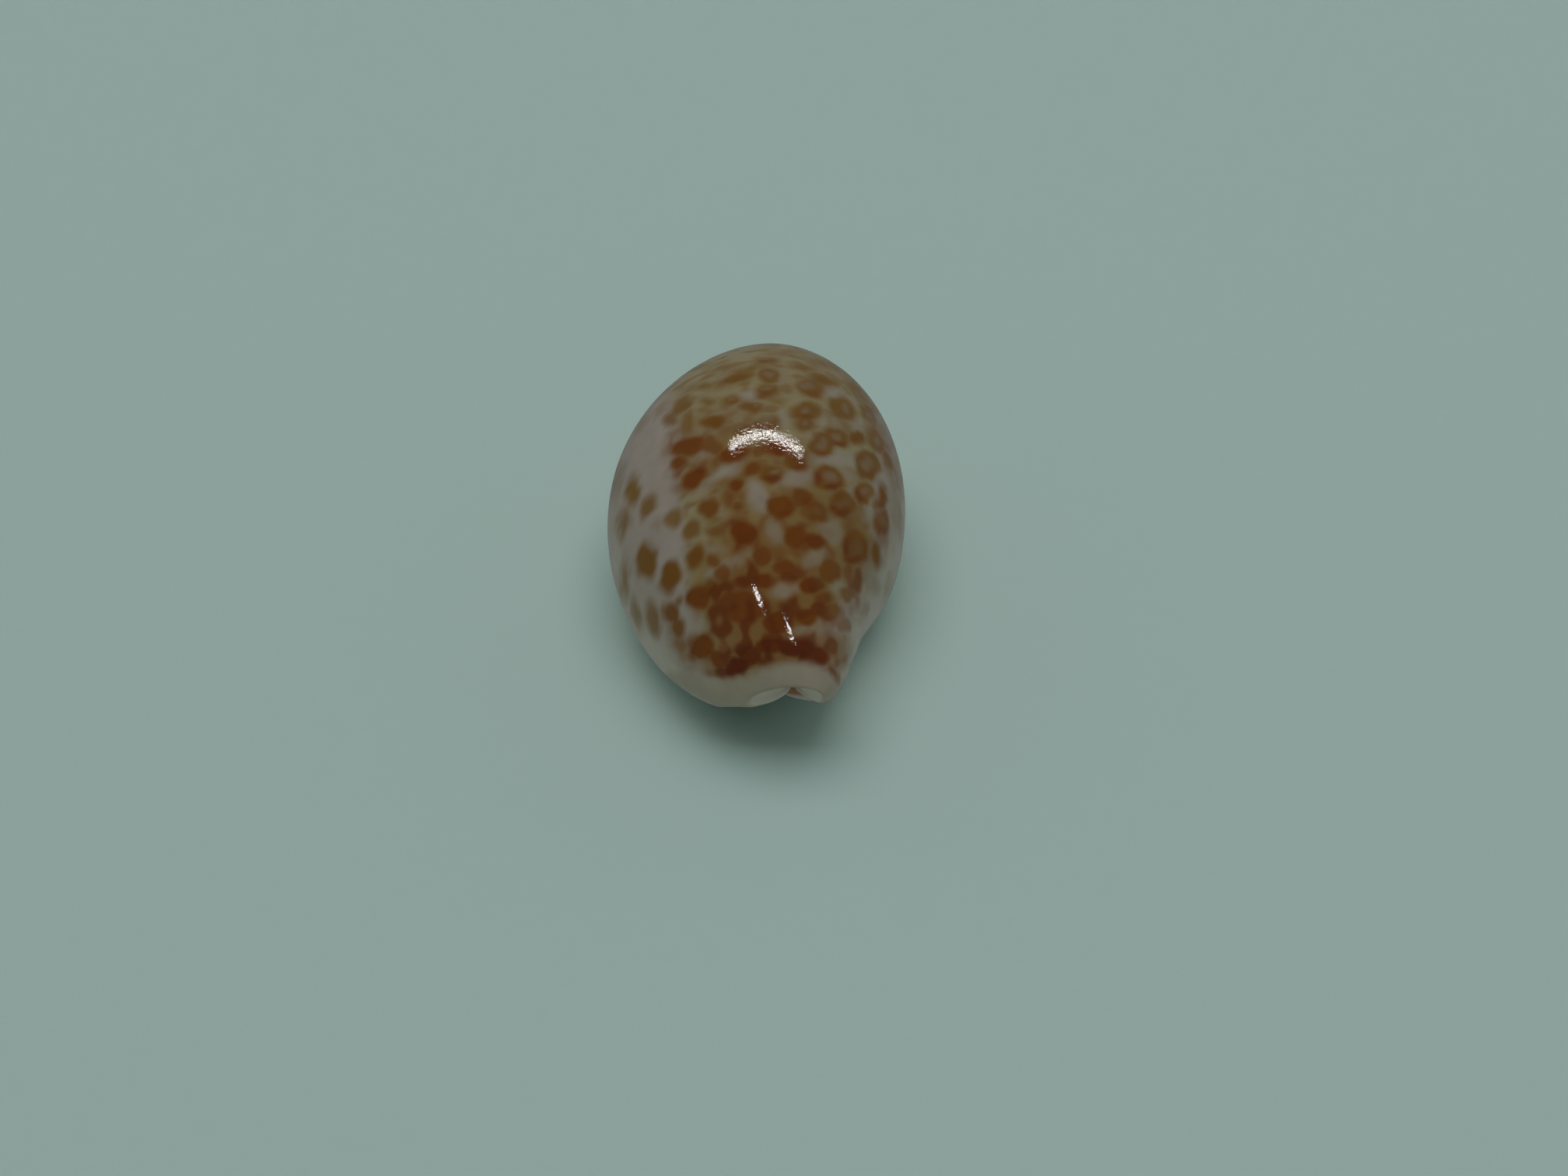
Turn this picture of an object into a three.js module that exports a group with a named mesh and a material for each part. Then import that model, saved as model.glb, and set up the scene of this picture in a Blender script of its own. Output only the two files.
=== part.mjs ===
// White-spotted cowrie: the hollow shell of a sea snail, lying on its base.
// Millimetres. +Z is up, out of the back. -Y is the front end, where the siphon came out,
// and -X is the side of the outer lip. The whole shell grew as one piece.
//
// The wall is one thick sheet rolled into a C. Each cross-section, square to Y, is a closed C:
// round the outside from the outer lip over the back to the inner lip, over that lip into the
// aperture, and back along the inside of the hollow. The mouth of the C is the toothed aperture,
// which runs out through both ends as a short canal.

import * as THREE from "three";

// Driving dimensions, in millimetres.
const LENGTH = 24;
const WIDTH = 15.2;
const HEIGHT = 11.5;
const BACK_WALL = 0.9;
const SIDE_WALL = 1.1;
const LIP_HEIGHT = 1.8;
const RIM_LIP_HEIGHT = 0.25;
const BASE_SAG = 0.5; // how far the curved base would reach below its flat spots

// Places along the shell, as t from -1 at the front end to 1 at the rear end.
const WIDEST_LEFT = 0.136;
const WIDEST_RIGHT = 0.113;
const HIGHEST = 0.255;

// Each end closes in on the rim of its canal. A rim has the place of its four sides, the power of
// the curve that each side takes to it, and how far its underside is cut back.
const FRONT_RIM = {
  left: { at: 0.1, power: 0.819 },
  right: { at: 2.04, power: 0.752 },
  top: { at: 5.4, power: 0.9 },
  bottom: { at: 3.2, power: 3.44 },
  cutBack: 0.95,
};
const REAR_RIM = {
  left: { at: -0.4, power: 0.647 },
  right: { at: 2.72, power: 0.607 },
  top: { at: 2.95, power: 0.46 },
  bottom: { at: 0.9, power: 3.3 },
  cutBack: 0.5,
};
// The narrow spout beside the front canal, and the shell's waist behind it.
const BEAK = { right: 4.8, flare: 0.55, flareOver: 0.25, blend: 0.25 };
const RIGHT_WAIST = { depth: 0.42, at: -0.45, spread: 0.16 };
const FRONT_LEAN = 0.178; // the front end is tilted, lower on the outer lip's side
// The last share of t, over which a section rounds off, and the share of its size left at the end.
const FRONT_ROUNDING = { over: 0.1, across: 0.8, high: 0.6 };
const REAR_ROUNDING = { over: 0.06, across: 0.655, high: 0.655 };

// The canals' inner sides, and the power of the hollow's curves to them.
const FRONT_CANAL = { left: 2.6, right: 2.95, top: 4.55, power: 1.0 };
const REAR_CANAL = { left: 0.35, right: 1.95, top: 2.05, power: 0.85 };

const MARGIN_HEIGHT = 0.382; // where the section is widest, as a share of its height
const ROUND_ABOVE = 1.876; // superellipse powers of the section above and below its margin
const ROUND_BELOW = 2.533;

// The aperture's centre line bows towards the outer lip and hooks over at both ends.
const BOW = { left: -1.9, from: 0.2, curve: 2.45, rearHook: 1.53, rearPower: 8 };
const FRONT_HOOK = { shift: 1.13, from: 0.6, to: 0.9 };
const GAP = { rear: 0.65, front: 1.1, rearAt: 0.9, frontAt: -0.1 };
const OUTLET = { wider: 0.45, at: -0.88, spread: 0.09, over: 0.12, frontTo: 0.08, rearTo: 0.8 };
const OUTER_LIP = { side: -1, roll: 0.8, frontRoll: 2.2, rearRoll: 0.6, teeth: 15, bite: 0.34, phase: 0 };
const INNER_LIP = { side: 1, roll: 1.1, frontRoll: 1.5, rearRoll: 0.5, teeth: 17, bite: 0.2, phase: 0.5 };
const BITE_POWER = 0.7; // under 1, the bites are round and the teeth between them are narrow
const LIP_OVERHANG = { middle: 0.3, end: 0.1 }; // how far the wall over the lip stands back
const ROLL_ROOM = 0.45; // the most of the space beside the aperture that the lip's roll takes up
const FRONT_ROLL_ROOM = 0.9;
// Towards the front end the lips rise to the canal's roof and leave a notch shaped like an upturned
// V: over the last share of t, up to an angle on the canal's wall, and by this share of its height.
const NOTCH = { over: 0.12, shoulder: 0.5, rise: 0.85 };
const TEETH_FROM = -0.9;
const TEETH_TO = 0.92;
const END_ZONE = 0.2; // the share of t over which a section turns into the rim
const RIM_CREST = { share: 0.64, bulge: 0.2 }; // where a rim's crest lies between its two sides

// Mesh density.
const ROWS = 88;
const EVEN_SHARE = 0.6; // rows are spaced partly evenly, partly closer at the ends
const LIP_STEPS = 4;
const INSIDE_STEPS = 12;
const OUTSIDE_PER_INSIDE = 2;

const clamp = THREE.MathUtils.clamp;
const smoothstep = THREE.MathUtils.smoothstep;
const lerp = THREE.MathUtils.lerp;

// 1 at the peak, falling to 0 at both ends; a smaller power makes that end blunter.
function swell(t, peak, frontPower, rearPower) {
  const away = t < peak ? (peak - t) / (peak + 1) : (t - peak) / (1 - peak);
  return Math.pow(Math.max(0, 1 - away * away), t < peak ? frontPower : rearPower);
}

function apertureX(t) {
  const front = FRONT_HOOK.shift * smoothstep(-t, FRONT_HOOK.from, FRONT_HOOK.to);
  const rear = BOW.rearHook * Math.max(0, t) ** BOW.rearPower;
  return BOW.left + BOW.curve * (t - BOW.from) ** 2 + front + rear;
}

// The gap widens from the rear to the front, opens out at the front canal and closes in at both ends.
function halfGap(t) {
  const gap = lerp(GAP.rear, GAP.front, smoothstep(-t, -GAP.rearAt, -GAP.frontAt));
  const outlet = OUTLET.wider * Math.exp(-(((t - OUTLET.at) / OUTLET.spread) ** 2));
  const late = clamp((Math.abs(t) - 1) / OUTLET.over + 1, 0, 1);
  const closedTo = t < 0 ? OUTLET.frontTo : OUTLET.rearTo;
  return (gap + outlet) * Math.sqrt(1 - late * late * (1 - closedTo ** 2));
}

// One side of the shell at t: away from the rims it swells out to its widest.
function side(t, peak, widest, front, rear, frontPower, rearPower) {
  return lerp(t < peak ? front : rear, widest, swell(t, peak, frontPower, rearPower));
}

// The sizes of the cross-section at t.
function sectionAt(t) {
  const [front, rear, nearer] = [FRONT_RIM, REAR_RIM, t < 0 ? FRONT_RIM : REAR_RIM];
  const toEnd = 1 - smoothstep(1 - Math.abs(t), 0, END_ZONE);
  const outerSide = (name, peak, widest) =>
    side(t, peak, widest, front[name].at, rear[name].at, front[name].power, rear[name].power);
  const hollowSide = (name, peak, widest) =>
    side(t, peak, widest, FRONT_CANAL[name], REAR_CANAL[name], FRONT_CANAL.power, REAR_CANAL.power);
  const left = outerSide("left", WIDEST_LEFT, -WIDTH / 2);
  const waist = RIGHT_WAIST.depth * Math.exp(-(((t - RIGHT_WAIST.at) / RIGHT_WAIST.spread) ** 2));
  const body = outerSide("right", WIDEST_RIGHT, WIDTH / 2) - waist;
  const beakRight = BEAK.right + BEAK.flare * smoothstep(1 + t, 0, BEAK.flareOver);
  const beak = t < 0 ? BEAK.blend * Math.log1p(Math.exp((beakRight - body) / BEAK.blend)) : 0;
  const top = outerSide("top", HIGHEST, HEIGHT);
  const bottom = nearer.bottom.at * Math.abs(t) ** nearer.bottom.power - BASE_SAG * (1 - Math.abs(t));
  const lip = lerp(LIP_HEIGHT, RIM_LIP_HEIGHT, toEnd);
  const outside = ring(left, body + beak, top, bottom, t);
  const rounding = t < 0 ? FRONT_ROUNDING : REAR_ROUNDING;
  const late = clamp((Math.abs(t) - 1) / rounding.over + 1, 0, 1);
  const lower = Math.sqrt(1 - late * late * (1 - rounding.high ** 2));
  outside.half *= Math.sqrt(1 - late * late * (1 - rounding.across ** 2));
  outside.top = lerp(outside.middle, outside.top, lower);
  outside.bottom = lerp(outside.middle, outside.bottom, lower);
  return {
    t,
    y: (t * LENGTH) / 2,
    toEnd,
    cutBack: -Math.sign(t) * nearer.cutBack * toEnd,
    outside,
    inside: ring(
      hollowSide("left", WIDEST_LEFT, SIDE_WALL - WIDTH / 2),
      hollowSide("right", WIDEST_RIGHT, WIDTH / 2 - SIDE_WALL),
      hollowSide("top", HIGHEST, HEIGHT - BACK_WALL),
      Math.max(outside.bottom, 0) + lip,
      t,
    ),
  };
}

function ring(left, right, top, bottom, t) {
  return {
    x: (left + right) / 2,
    half: (right - left) / 2,
    top,
    bottom,
    middle: lerp(bottom, top, MARGIN_HEIGHT),
    lean: t < 0 ? FRONT_LEAN * t * t : 0,
  };
}

// A point of a superellipse section at an angle, and the angle on its underside that lies at x.
function onRing(ring, angle) {
  const c = Math.cos(angle);
  const s = Math.sin(angle);
  const power = 2 / (s >= 0 ? ROUND_ABOVE : ROUND_BELOW);
  const reach = s >= 0 ? ring.top - ring.middle : ring.middle - ring.bottom;
  const across = ring.half * Math.sign(c) * Math.abs(c) ** power;
  const lean = s < 0 && c > 0 ? ring.lean * (1 + s) : ring.lean;
  const z = ring.middle + reach * Math.sign(s) * Math.abs(s) ** power + lean * across;
  return { x: ring.x + across, z: Math.max(0, z) };
}

function angleBelow(ring, x) {
  const share = clamp((x - ring.x) / ring.half, -0.94, 0.94);
  const c = Math.sign(share) * Math.pow(Math.abs(share), ROUND_BELOW / 2);
  return -Math.acos(c);
}

// How deep the space between two teeth is cut at t: 0 on a tooth's crest, 1 in a gap.
function bite(t, lip) {
  const along = (t - TEETH_FROM) / (TEETH_TO - TEETH_FROM);
  const fade = smoothstep(along, -0.02, 0.04) * (1 - smoothstep(along, 0.96, 1.02));
  return fade * (0.5 - 0.5 * Math.cos(2 * Math.PI * (along * lip.teeth + lip.phase))) ** BITE_POWER;
}

// The lip's profile from the middle of its wall in the aperture: down and out to the base,
// and up and out to the hollow. Both lists start at the same point.
function lipAt(section, lip) {
  const { t, toEnd, cutBack, outside, inside } = section;
  const edge = apertureX(t) + lip.side * halfGap(t);
  const room = outside.half - lip.side * (edge - outside.x);
  const rollRoom = room * (t < 0 ? lerp(ROLL_ROOM, FRONT_ROLL_ROOM, toEnd) : ROLL_ROOM);
  const roll = Math.min(lerp(lip.roll, t < 0 ? lip.frontRoll : lip.rearRoll, toEnd), rollRoom);
  const overhang = lerp(LIP_OVERHANG.middle, LIP_OVERHANG.end, toEnd);
  const outAngle = angleBelow(outside, edge + lip.side * roll);
  const notch = t < 0 ? 1 - smoothstep(1 + t, 0, NOTCH.over) : 0;
  const shoulder = lip.side > 0 ? NOTCH.shoulder : -Math.PI - NOTCH.shoulder;
  const inAngle = lerp(angleBelow(inside, edge + lip.side * overhang), shoulder, notch);
  const foot = onRing(outside, outAngle);
  const ceiling = onRing(inside, inAngle);
  const wallFrom = foot.z + Math.min(roll, (ceiling.z - foot.z) * lerp(0.5, NOTCH.rise, notch));
  const middle = lerp(wallFrom, ceiling.z, 0.45);
  const cut = lip.side * lip.bite * bite(t, lip);
  const down = [];
  const up = [];
  for (let i = 0; i < LIP_STEPS; i++) {
    const turn = (Math.PI / 2) * (1 - i / LIP_STEPS);
    const reach = Math.sin(turn);
    const rise = 1 - Math.cos(turn);
    down.push({
      x: foot.x + (edge + cut - foot.x) * reach,
      y: (cutBack * (reach + rise)) / 2,
      z: i ? foot.z + (wallFrom - foot.z) * rise : middle,
    });
    up.push({
      x: ceiling.x + (edge + cut - ceiling.x) * reach,
      y: cutBack,
      z: i ? ceiling.z + (middle - ceiling.z) * rise : middle,
    });
  }
  return { down, up, outAngle, inAngle };
}

// Points round a ring from the outer lip's foot, over the top, to the inner lip's foot.
function roundOver(ring, from, to, steps, y) {
  const turn = 2 * Math.PI + from - to;
  return Array.from({ length: steps + 1 }, (_, i) => ({ ...onRing(ring, from - (turn * i) / steps), y }));
}

// The two halves of a section's C, outside and inside, which share their first and last points.
function halvesAt(t) {
  const section = sectionAt(t);
  const left = lipAt(section, OUTER_LIP);
  const right = lipAt(section, INNER_LIP);
  const around = INSIDE_STEPS * OUTSIDE_PER_INSIDE;
  const over = roundOver(section.outside, left.outAngle, right.outAngle, around, 0);
  const under = roundOver(section.inside, left.inAngle, right.inAngle, INSIDE_STEPS, section.cutBack);
  const place = ({ x, y, z }) => new THREE.Vector3(x, section.y + y, z);
  return {
    outside: [...left.down, ...over, ...right.down.reverse()].map(place),
    inside: [...left.up, ...under, ...right.up.reverse()].map(place),
  };
}

// Collects points and triangles, and makes the geometry.
class Sheet {
  points = [];
  faces = [];

  add(row) {
    const first = this.points.length;
    this.points.push(...row);
    return row.map((_, i) => first + i);
  }

  quad(a, b, c, d) {
    this.faces.push([a, b, c], [a, c, d]);
  }

  triangle(a, b, c) {
    if (a !== b && b !== c && c !== a) this.faces.push([a, b, c]);
  }

  geometry() {
    const made = new THREE.BufferGeometry().setFromPoints(this.points);
    made.setIndex(this.faces.flat());
    made.computeVertexNormals();
    return made;
  }
}

// The inside point that belongs to an outside point, of the C's two halves.
function insideOf(i) {
  const around = INSIDE_STEPS * OUTSIDE_PER_INSIDE;
  const over = Math.floor(clamp(i - LIP_STEPS, 0, around) / OUTSIDE_PER_INSIDE);
  return Math.min(i, LIP_STEPS) + over + Math.max(0, i - LIP_STEPS - around);
}

// Closes an end: a rounded rim from the outside points over a crest to the inside points.
function closeEnd(sheet, row, end) {
  const partner = row.out.map((_, i) => row.inn[insideOf(i)]);
  const crest = row.out.map((outer, i) => {
    const inner = partner[i];
    if (outer === inner) return outer;
    const top = sheet.points[outer].clone().lerp(sheet.points[inner], RIM_CREST.share);
    top.y += end * RIM_CREST.bulge;
    return sheet.add([top])[0];
  });
  for (const [from, to] of [[row.out, crest], [crest, partner]]) {
    for (let i = 0; i + 1 < from.length; i++) {
      const corners = [from[i], from[i + 1], to[i + 1], to[i]];
      if (end < 0) corners.reverse();
      const [a, b, c, d] = corners;
      sheet.triangle(a, b, c);
      sheet.triangle(a, c, d);
    }
  }
}

function shellGeometry() {
  const sheet = new Sheet();
  const rows = [];
  for (let i = 0; i <= ROWS; i++) {
    const u = i / ROWS;
    const t = EVEN_SHARE * (2 * u - 1) - (1 - EVEN_SHARE) * Math.cos(Math.PI * u);
    const { outside, inside } = halvesAt(t);
    const out = sheet.add(outside);
    const within = sheet.add(inside.slice(1, -1));
    rows.push({ out, inn: [out[0], ...within, out.at(-1)] });
  }
  for (let i = 0; i < ROWS; i++) {
    const [a, b] = [rows[i], rows[i + 1]];
    for (let j = 0; j + 1 < a.out.length; j++) sheet.quad(a.out[j], a.out[j + 1], b.out[j + 1], b.out[j]);
    for (let j = 0; j + 1 < a.inn.length; j++) sheet.quad(a.inn[j + 1], a.inn[j], b.inn[j], b.inn[j + 1]);
  }
  closeEnd(sheet, rows[0], -1);
  closeEnd(sheet, rows[ROWS], 1);
  return sheet.geometry();
}

const geometry = shellGeometry();
geometry.computeBoundingBox();
const middle = geometry.boundingBox.getCenter(new THREE.Vector3());
geometry.translate(-middle.x, -middle.y, -geometry.boundingBox.min.z);

const porcelain = new THREE.MeshStandardMaterial({ color: 0xd9cfc6, roughness: 0.15, metalness: 0 });
const shell = new THREE.Mesh(geometry, porcelain);
shell.name = "shell";

const cowrie = new THREE.Group();
cowrie.add(shell);

export default cowrie;
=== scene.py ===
# White-spotted cowrie: the looks of one shell, lying on its base on a pale floor.
#
# The shell is one fine mesh that follows the same formulas as the solid that it replaces, with
# rounder lips and teeth. Its pattern is a set of covers, each a number from 0 to 1 at every point of
# the mesh, that the material turns into colours. Lengths in the formulas are millimetres.

import math
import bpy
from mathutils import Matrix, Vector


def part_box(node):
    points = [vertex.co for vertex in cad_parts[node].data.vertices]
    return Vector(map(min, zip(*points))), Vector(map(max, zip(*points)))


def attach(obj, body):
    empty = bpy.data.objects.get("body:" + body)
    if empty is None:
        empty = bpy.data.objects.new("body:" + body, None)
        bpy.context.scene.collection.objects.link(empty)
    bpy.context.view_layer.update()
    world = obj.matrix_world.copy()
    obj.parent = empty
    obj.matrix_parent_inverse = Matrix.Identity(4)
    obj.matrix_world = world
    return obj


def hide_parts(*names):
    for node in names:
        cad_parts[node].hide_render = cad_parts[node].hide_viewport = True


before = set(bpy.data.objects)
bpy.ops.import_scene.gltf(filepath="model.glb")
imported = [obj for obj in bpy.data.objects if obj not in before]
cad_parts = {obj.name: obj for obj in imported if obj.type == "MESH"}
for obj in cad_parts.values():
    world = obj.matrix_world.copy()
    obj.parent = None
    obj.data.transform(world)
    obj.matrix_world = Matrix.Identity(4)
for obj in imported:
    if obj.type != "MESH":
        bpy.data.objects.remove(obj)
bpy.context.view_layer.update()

from types import SimpleNamespace

import bpy
import numpy as np
from mathutils import Vector

node_low, node_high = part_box("shell")

# The shell's driving sizes.
LENGTH = 24
MM = (node_high.y - node_low.y) / LENGTH
WIDTH = 15.2
HEIGHT = 11.5
BACK_WALL = 0.9
SIDE_WALL = 1.1
LIP_HEIGHT = 1.8
RIM_LIP_HEIGHT = 0.25
BASE_SAG = 0.5

# Places along the shell, as t from -1 at the front end to 1 at the rear end.
WIDEST_LEFT = 0.136
WIDEST_RIGHT = 0.113
HIGHEST = 0.255
FRONT_RIM = SimpleNamespace(
    left=0.1, right=2.04, top=5.4, bottom=3.2, cut_back=0.95,
    left_power=0.819, right_power=0.752, top_power=0.9, bottom_power=3.44,
)
REAR_RIM = SimpleNamespace(
    left=-0.4, right=2.72, top=2.95, bottom=0.9, cut_back=0.5,
    left_power=0.647, right_power=0.607, top_power=0.46, bottom_power=3.3,
)
BEAK_RIGHT = 4.8
BEAK_FLARE = SimpleNamespace(by=0.55, over=0.25)
BEAK_BLEND = 0.25
RIGHT_WAIST = SimpleNamespace(depth=0.42, at=-0.45, spread=0.16)
FRONT_LEAN = 0.178
FRONT_ROUNDING = SimpleNamespace(over=0.1, across=0.8, high=0.6)
REAR_ROUNDING = SimpleNamespace(over=0.06, across=0.655, high=0.655)
FRONT_CANAL = SimpleNamespace(left=2.6, right=2.95, top=4.55, power=1.0)
REAR_CANAL = SimpleNamespace(left=0.35, right=1.95, top=2.05, power=0.85)
MARGIN_HEIGHT = 0.382
ROUND_ABOVE = 1.876
ROUND_BELOW = 2.533

# The aperture's bowed centre line, its gap and its two toothed lips.
BOW = SimpleNamespace(left=-1.9, start=0.2, curve=2.45, rear_hook=1.53, rear_power=8)
FRONT_HOOK = SimpleNamespace(shift=1.13, start=0.6, end=0.9)
GAP = SimpleNamespace(rear=0.65, front=1.1, rear_at=0.9, front_at=-0.1)
OUTLET = SimpleNamespace(wider=0.45, at=-0.88, spread=0.09, over=0.12, front_to=0.08, rear_to=0.8)
OUTER_LIP = SimpleNamespace(
    side=-1, roll=0.8, front_roll=2.2, rear_roll=0.6, teeth=15, bite=0.34, phase=0,
)
INNER_LIP = SimpleNamespace(
    side=1, roll=1.1, front_roll=1.5, rear_roll=0.5, teeth=17, bite=0.2, phase=0.5,
)
BITE_POWER = 0.7
OVERHANG_MIDDLE = 0.3
OVERHANG_END = 0.1
ROLL_ROOM = 0.45
FRONT_ROLL_ROOM = 0.9
NOTCH = SimpleNamespace(over=0.12, shoulder=0.5, rise=0.85)
# A lip's lower curve rises by at most this share of its height, and its upper one comes down to
# this share of what is left.
LIP_EDGE = SimpleNamespace(rise=0.5, middle=0.45)
UNDERSIDE_REACH = 0.94  # the furthest out that a lip meets a ring, as a share of its half width
TEETH_FROM = -0.9
TEETH_TO = 0.92
# Where the teeth fade in and out, as shares of their row.
TEETH_START = (-0.02, 0.04)
TEETH_STOP = (0.96, 1.02)
END_ZONE = 0.2
RIM_BULGE = 0.3
RIM_FROM = np.pi / 4  # how far a rim has already turned inwards where it starts

# Mesh density.
ROWS = 224
EVEN_SHARE = 0.6
LIP_STEPS = 10
INSIDE_STEPS = 64
OUTSIDE_PER_INSIDE = 4
OUTSIDE_STEPS = INSIDE_STEPS * OUTSIDE_PER_INSIDE
RIM_STEPS = 8

# The camera, fitted to the photo. The photo's pixels count from its upper left corner.
PHOTO_WIDTH = 2016
PHOTO_HEIGHT = 1512
CAMERA_AZIMUTH = math.radians(4.254)
CAMERA_ELEVATION = math.radians(41.355)
CAMERA_DISTANCE = 134.54
LOOK_AT = np.array([1.472, 0.575, 0])
LENS = 59.39
SENSOR = 36
PIXELS_PER_MM = LENS / SENSOR * PHOTO_WIDTH / CAMERA_DISTANCE
TO_CAMERA = np.array([
    math.sin(CAMERA_AZIMUTH) * math.cos(CAMERA_ELEVATION),
    -math.cos(CAMERA_AZIMUTH) * math.cos(CAMERA_ELEVATION),
    math.sin(CAMERA_ELEVATION),
])
CAMERA_AT = LOOK_AT + CAMERA_DISTANCE * TO_CAMERA

# Spots read from the photo: x, y, half length, half width, tilt of the length in degrees, how well
# it covers and how deep its brown is.
SOLID_SPOTS = [
    # Left flank.
    (814, 631, 18, 7, 80, 1.0, 0.0),
    (793, 620, 21, 5, 76, 0.5, 0.0),
    (833, 652, 14, 8, 65, 0.9, 0.1),
    (802, 673, 17, 6, 78, 0.85, 0.0),
    (866, 666, 12, 9, 45, 0.9, 0.0),
    (846, 676, 8, 5, 70, 0.35, 0.0),
    (831, 721, 21, 12, 84, 1.0, 0.15),
    (862, 742, 19, 12, 68, 1.0, 0.25),
    (896, 715, 14, 10, 65, 1.0, 0.25),
    (891, 683, 13, 10, 62, 0.9, 0.15),
    (803, 745, 22, 5, 88, 0.8, 0.0),
    (819, 789, 19, 6, 102, 0.75, 0.0),
    (840, 798, 20, 9, 98, 0.8, 0.1),
    (862, 786, 14, 10, 95, 0.95, 0.35),
    (869, 806, 14, 9, 105, 0.95, 0.3),
    (874, 828, 12, 8, 105, 0.7, 0.2),
    (872, 773, 6, 6, 0, 0.8, 0.2),
    (898, 768, 16, 15, 50, 1.0, 0.45),
    (912, 757, 12, 10, 40, 1.0, 0.3),
    (903, 832, 15, 14, 60, 1.0, 0.45),
    (887, 862, 9, 6, 45, 0.3, 0.3),
    # Upper left.
    (876, 522, 15, 8, 38, 0.9, 0.25),
    (862, 538, 9, 8, 50, 0.85, 0.2),
    (849, 527, 10, 4, 55, 0.5, 0.0),
    (825, 546, 13, 4, 58, 0.4, 0.0),
    (886, 500, 11, 5, 25, 0.6, 0.1),
    (908, 497, 12, 5, 12, 0.8, 0.2),
    (884, 546, 15, 8, 80, 0.8, 0.2),
    (886, 574, 24, 12, 10, 1.0, 0.4),
    (873, 595, 11, 9, 60, 1.0, 0.4),
    (917, 542, 17, 9, 8, 1.0, 0.25),
    (909, 516, 9, 5, 5, 0.8, 0.1),
    # Along the top.
    (1012, 453, 24, 4, -3, 0.55, 0.1),
    (930, 474, 17, 5, 15, 0.75, 0.1),
    (912, 470, 8, 4, 20, 0.4, 0.0),
    (946, 486, 23, 8, 20, 1.0, 0.4),
    (966, 474, 12, 5, 32, 0.8, 0.1),
    (1033, 473, 16, 6, -8, 0.85, 0.15),
    (1000, 517, 9, 5, -10, 0.6, 0.1),
    (1060, 488, 19, 7, -10, 1.0, 0.3),
    (1055, 467, 16, 5, -18, 0.7, 0.1),
    (1103, 563, 11, 9, -35, 1.0, 0.35),
    (1141, 592, 14, 7, -75, 0.95, 0.3),
    (1092, 484, 14, 4, -42, 0.85, 0.3),
    (1072, 472, 12, 4, -30, 0.7, 0.2),
    (1122, 548, 12, 4, -66, 0.8, 0.3),
    (1085, 545, 9, 5, -30, 0.6, 0.1),
    (1150, 600, 14, 4, -76, 0.6, 0.1),
    (1148, 614, 13, 4, -80, 0.5, 0.0),
    # Middle.
    (893, 615, 20, 12, 38, 1.0, 0.5),
    (915, 572, 14, 12, 0, 0.85, 0.4),
    (942, 585, 22, 10, 5, 1.0, 0.5),
    (968, 604, 14, 8, 20, 0.95, 0.45),
    (1000, 575, 16, 11, -10, 1.0, 0.55),
    (947, 623, 10, 9, 60, 1.0, 0.5),
    (949, 650, 9, 7, 0, 0.9, 0.4),
    (912, 652, 13, 12, 0, 0.95, 0.35),
    (1031, 640, 14, 13, 0, 0.95, 0.4),
    (1005, 655, 18, 15, 0, 1.0, 0.4),
    (1133, 641, 16, 7, 85, 1.0, 0.35),
    (957, 686, 17, 16, 0, 1.0, 0.6),
    (921, 684, 12, 7, 0, 0.8, 0.2),
    (1023, 690, 16, 14, 0, 1.0, 0.45),
    (1047, 697, 17, 9, -20, 1.0, 0.55),
    (1120, 697, 10, 6, 80, 0.6, 0.1),
    (1127, 713, 17, 8, 88, 1.0, 0.25),
    (917, 722, 8, 8, 0, 0.8, 0.45),
    (980, 713, 14, 13, 0, 0.9, 0.5),
    (1066, 735, 15, 14, 0, 0.95, 0.35),
    (1010, 731, 17, 11, 0, 0.95, 0.5),
    (930, 738, 14, 11, 70, 0.85, 0.45),
    (955, 750, 14, 9, 0, 1.0, 0.65),
    (980, 746, 15, 11, 0, 1.0, 0.55),
    (1038, 751, 12, 13, 0, 1.0, 0.6),
    (1058, 768, 13, 8, -15, 0.9, 0.45),
    (1068, 788, 12, 12, 0, 0.9, 0.3),
    (1101, 748, 16, 9, 80, 0.95, 0.4),
    (1090, 765, 10, 9, 0, 0.85, 0.25),
    (1086, 805, 9, 9, 0, 0.7, 0.2),
    (1125, 756, 12, 7, 90, 0.35, 0.0),
    (1141, 755, 15, 4, 85, 0.35, 0.0),
    (1111, 783, 11, 7, 80, 0.45, 0.0),
    (1106, 797, 8, 5, 60, 0.35, 0.0),
    (1155, 662, 20, 4, 95, 0.5, 0.0),
    # Front: blotches that run together into a dark band, and the streak down the beak.
    (955, 780, 32, 20, -5, 0.95, 0.55),
    (918, 790, 12, 10, 0, 0.7, 0.2),
    (1000, 800, 20, 16, 0, 1.0, 0.6),
    (1035, 793, 17, 10, 0, 1.0, 0.45),
    (925, 847, 16, 11, -30, 0.95, 0.6),
    (950, 857, 20, 13, 25, 1.0, 1.0),
    (968, 843, 14, 11, 45, 1.0, 0.85),
    (988, 831, 18, 11, 5, 1.0, 0.8),
    (1016, 834, 22, 11, -8, 1.0, 1.0),
    (1046, 843, 22, 13, -12, 1.0, 0.85),
    (1073, 867, 15, 5, -70, 0.9, 0.4),
]
# Ochre that fills the ground between the spots: x, y, half length, half width, tilt, strength.
WASHES = [
    (985, 750, 88, 78, 0, 0.95),
    (1010, 655, 95, 65, 0, 0.8),
    (985, 835, 90, 22, 0, 0.9),
    (945, 595, 50, 40, 20, 0.8),
    (1080, 685, 36, 62, 0, 0.8),
    (1000, 520, 115, 60, 0, 0.2),
]
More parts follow.
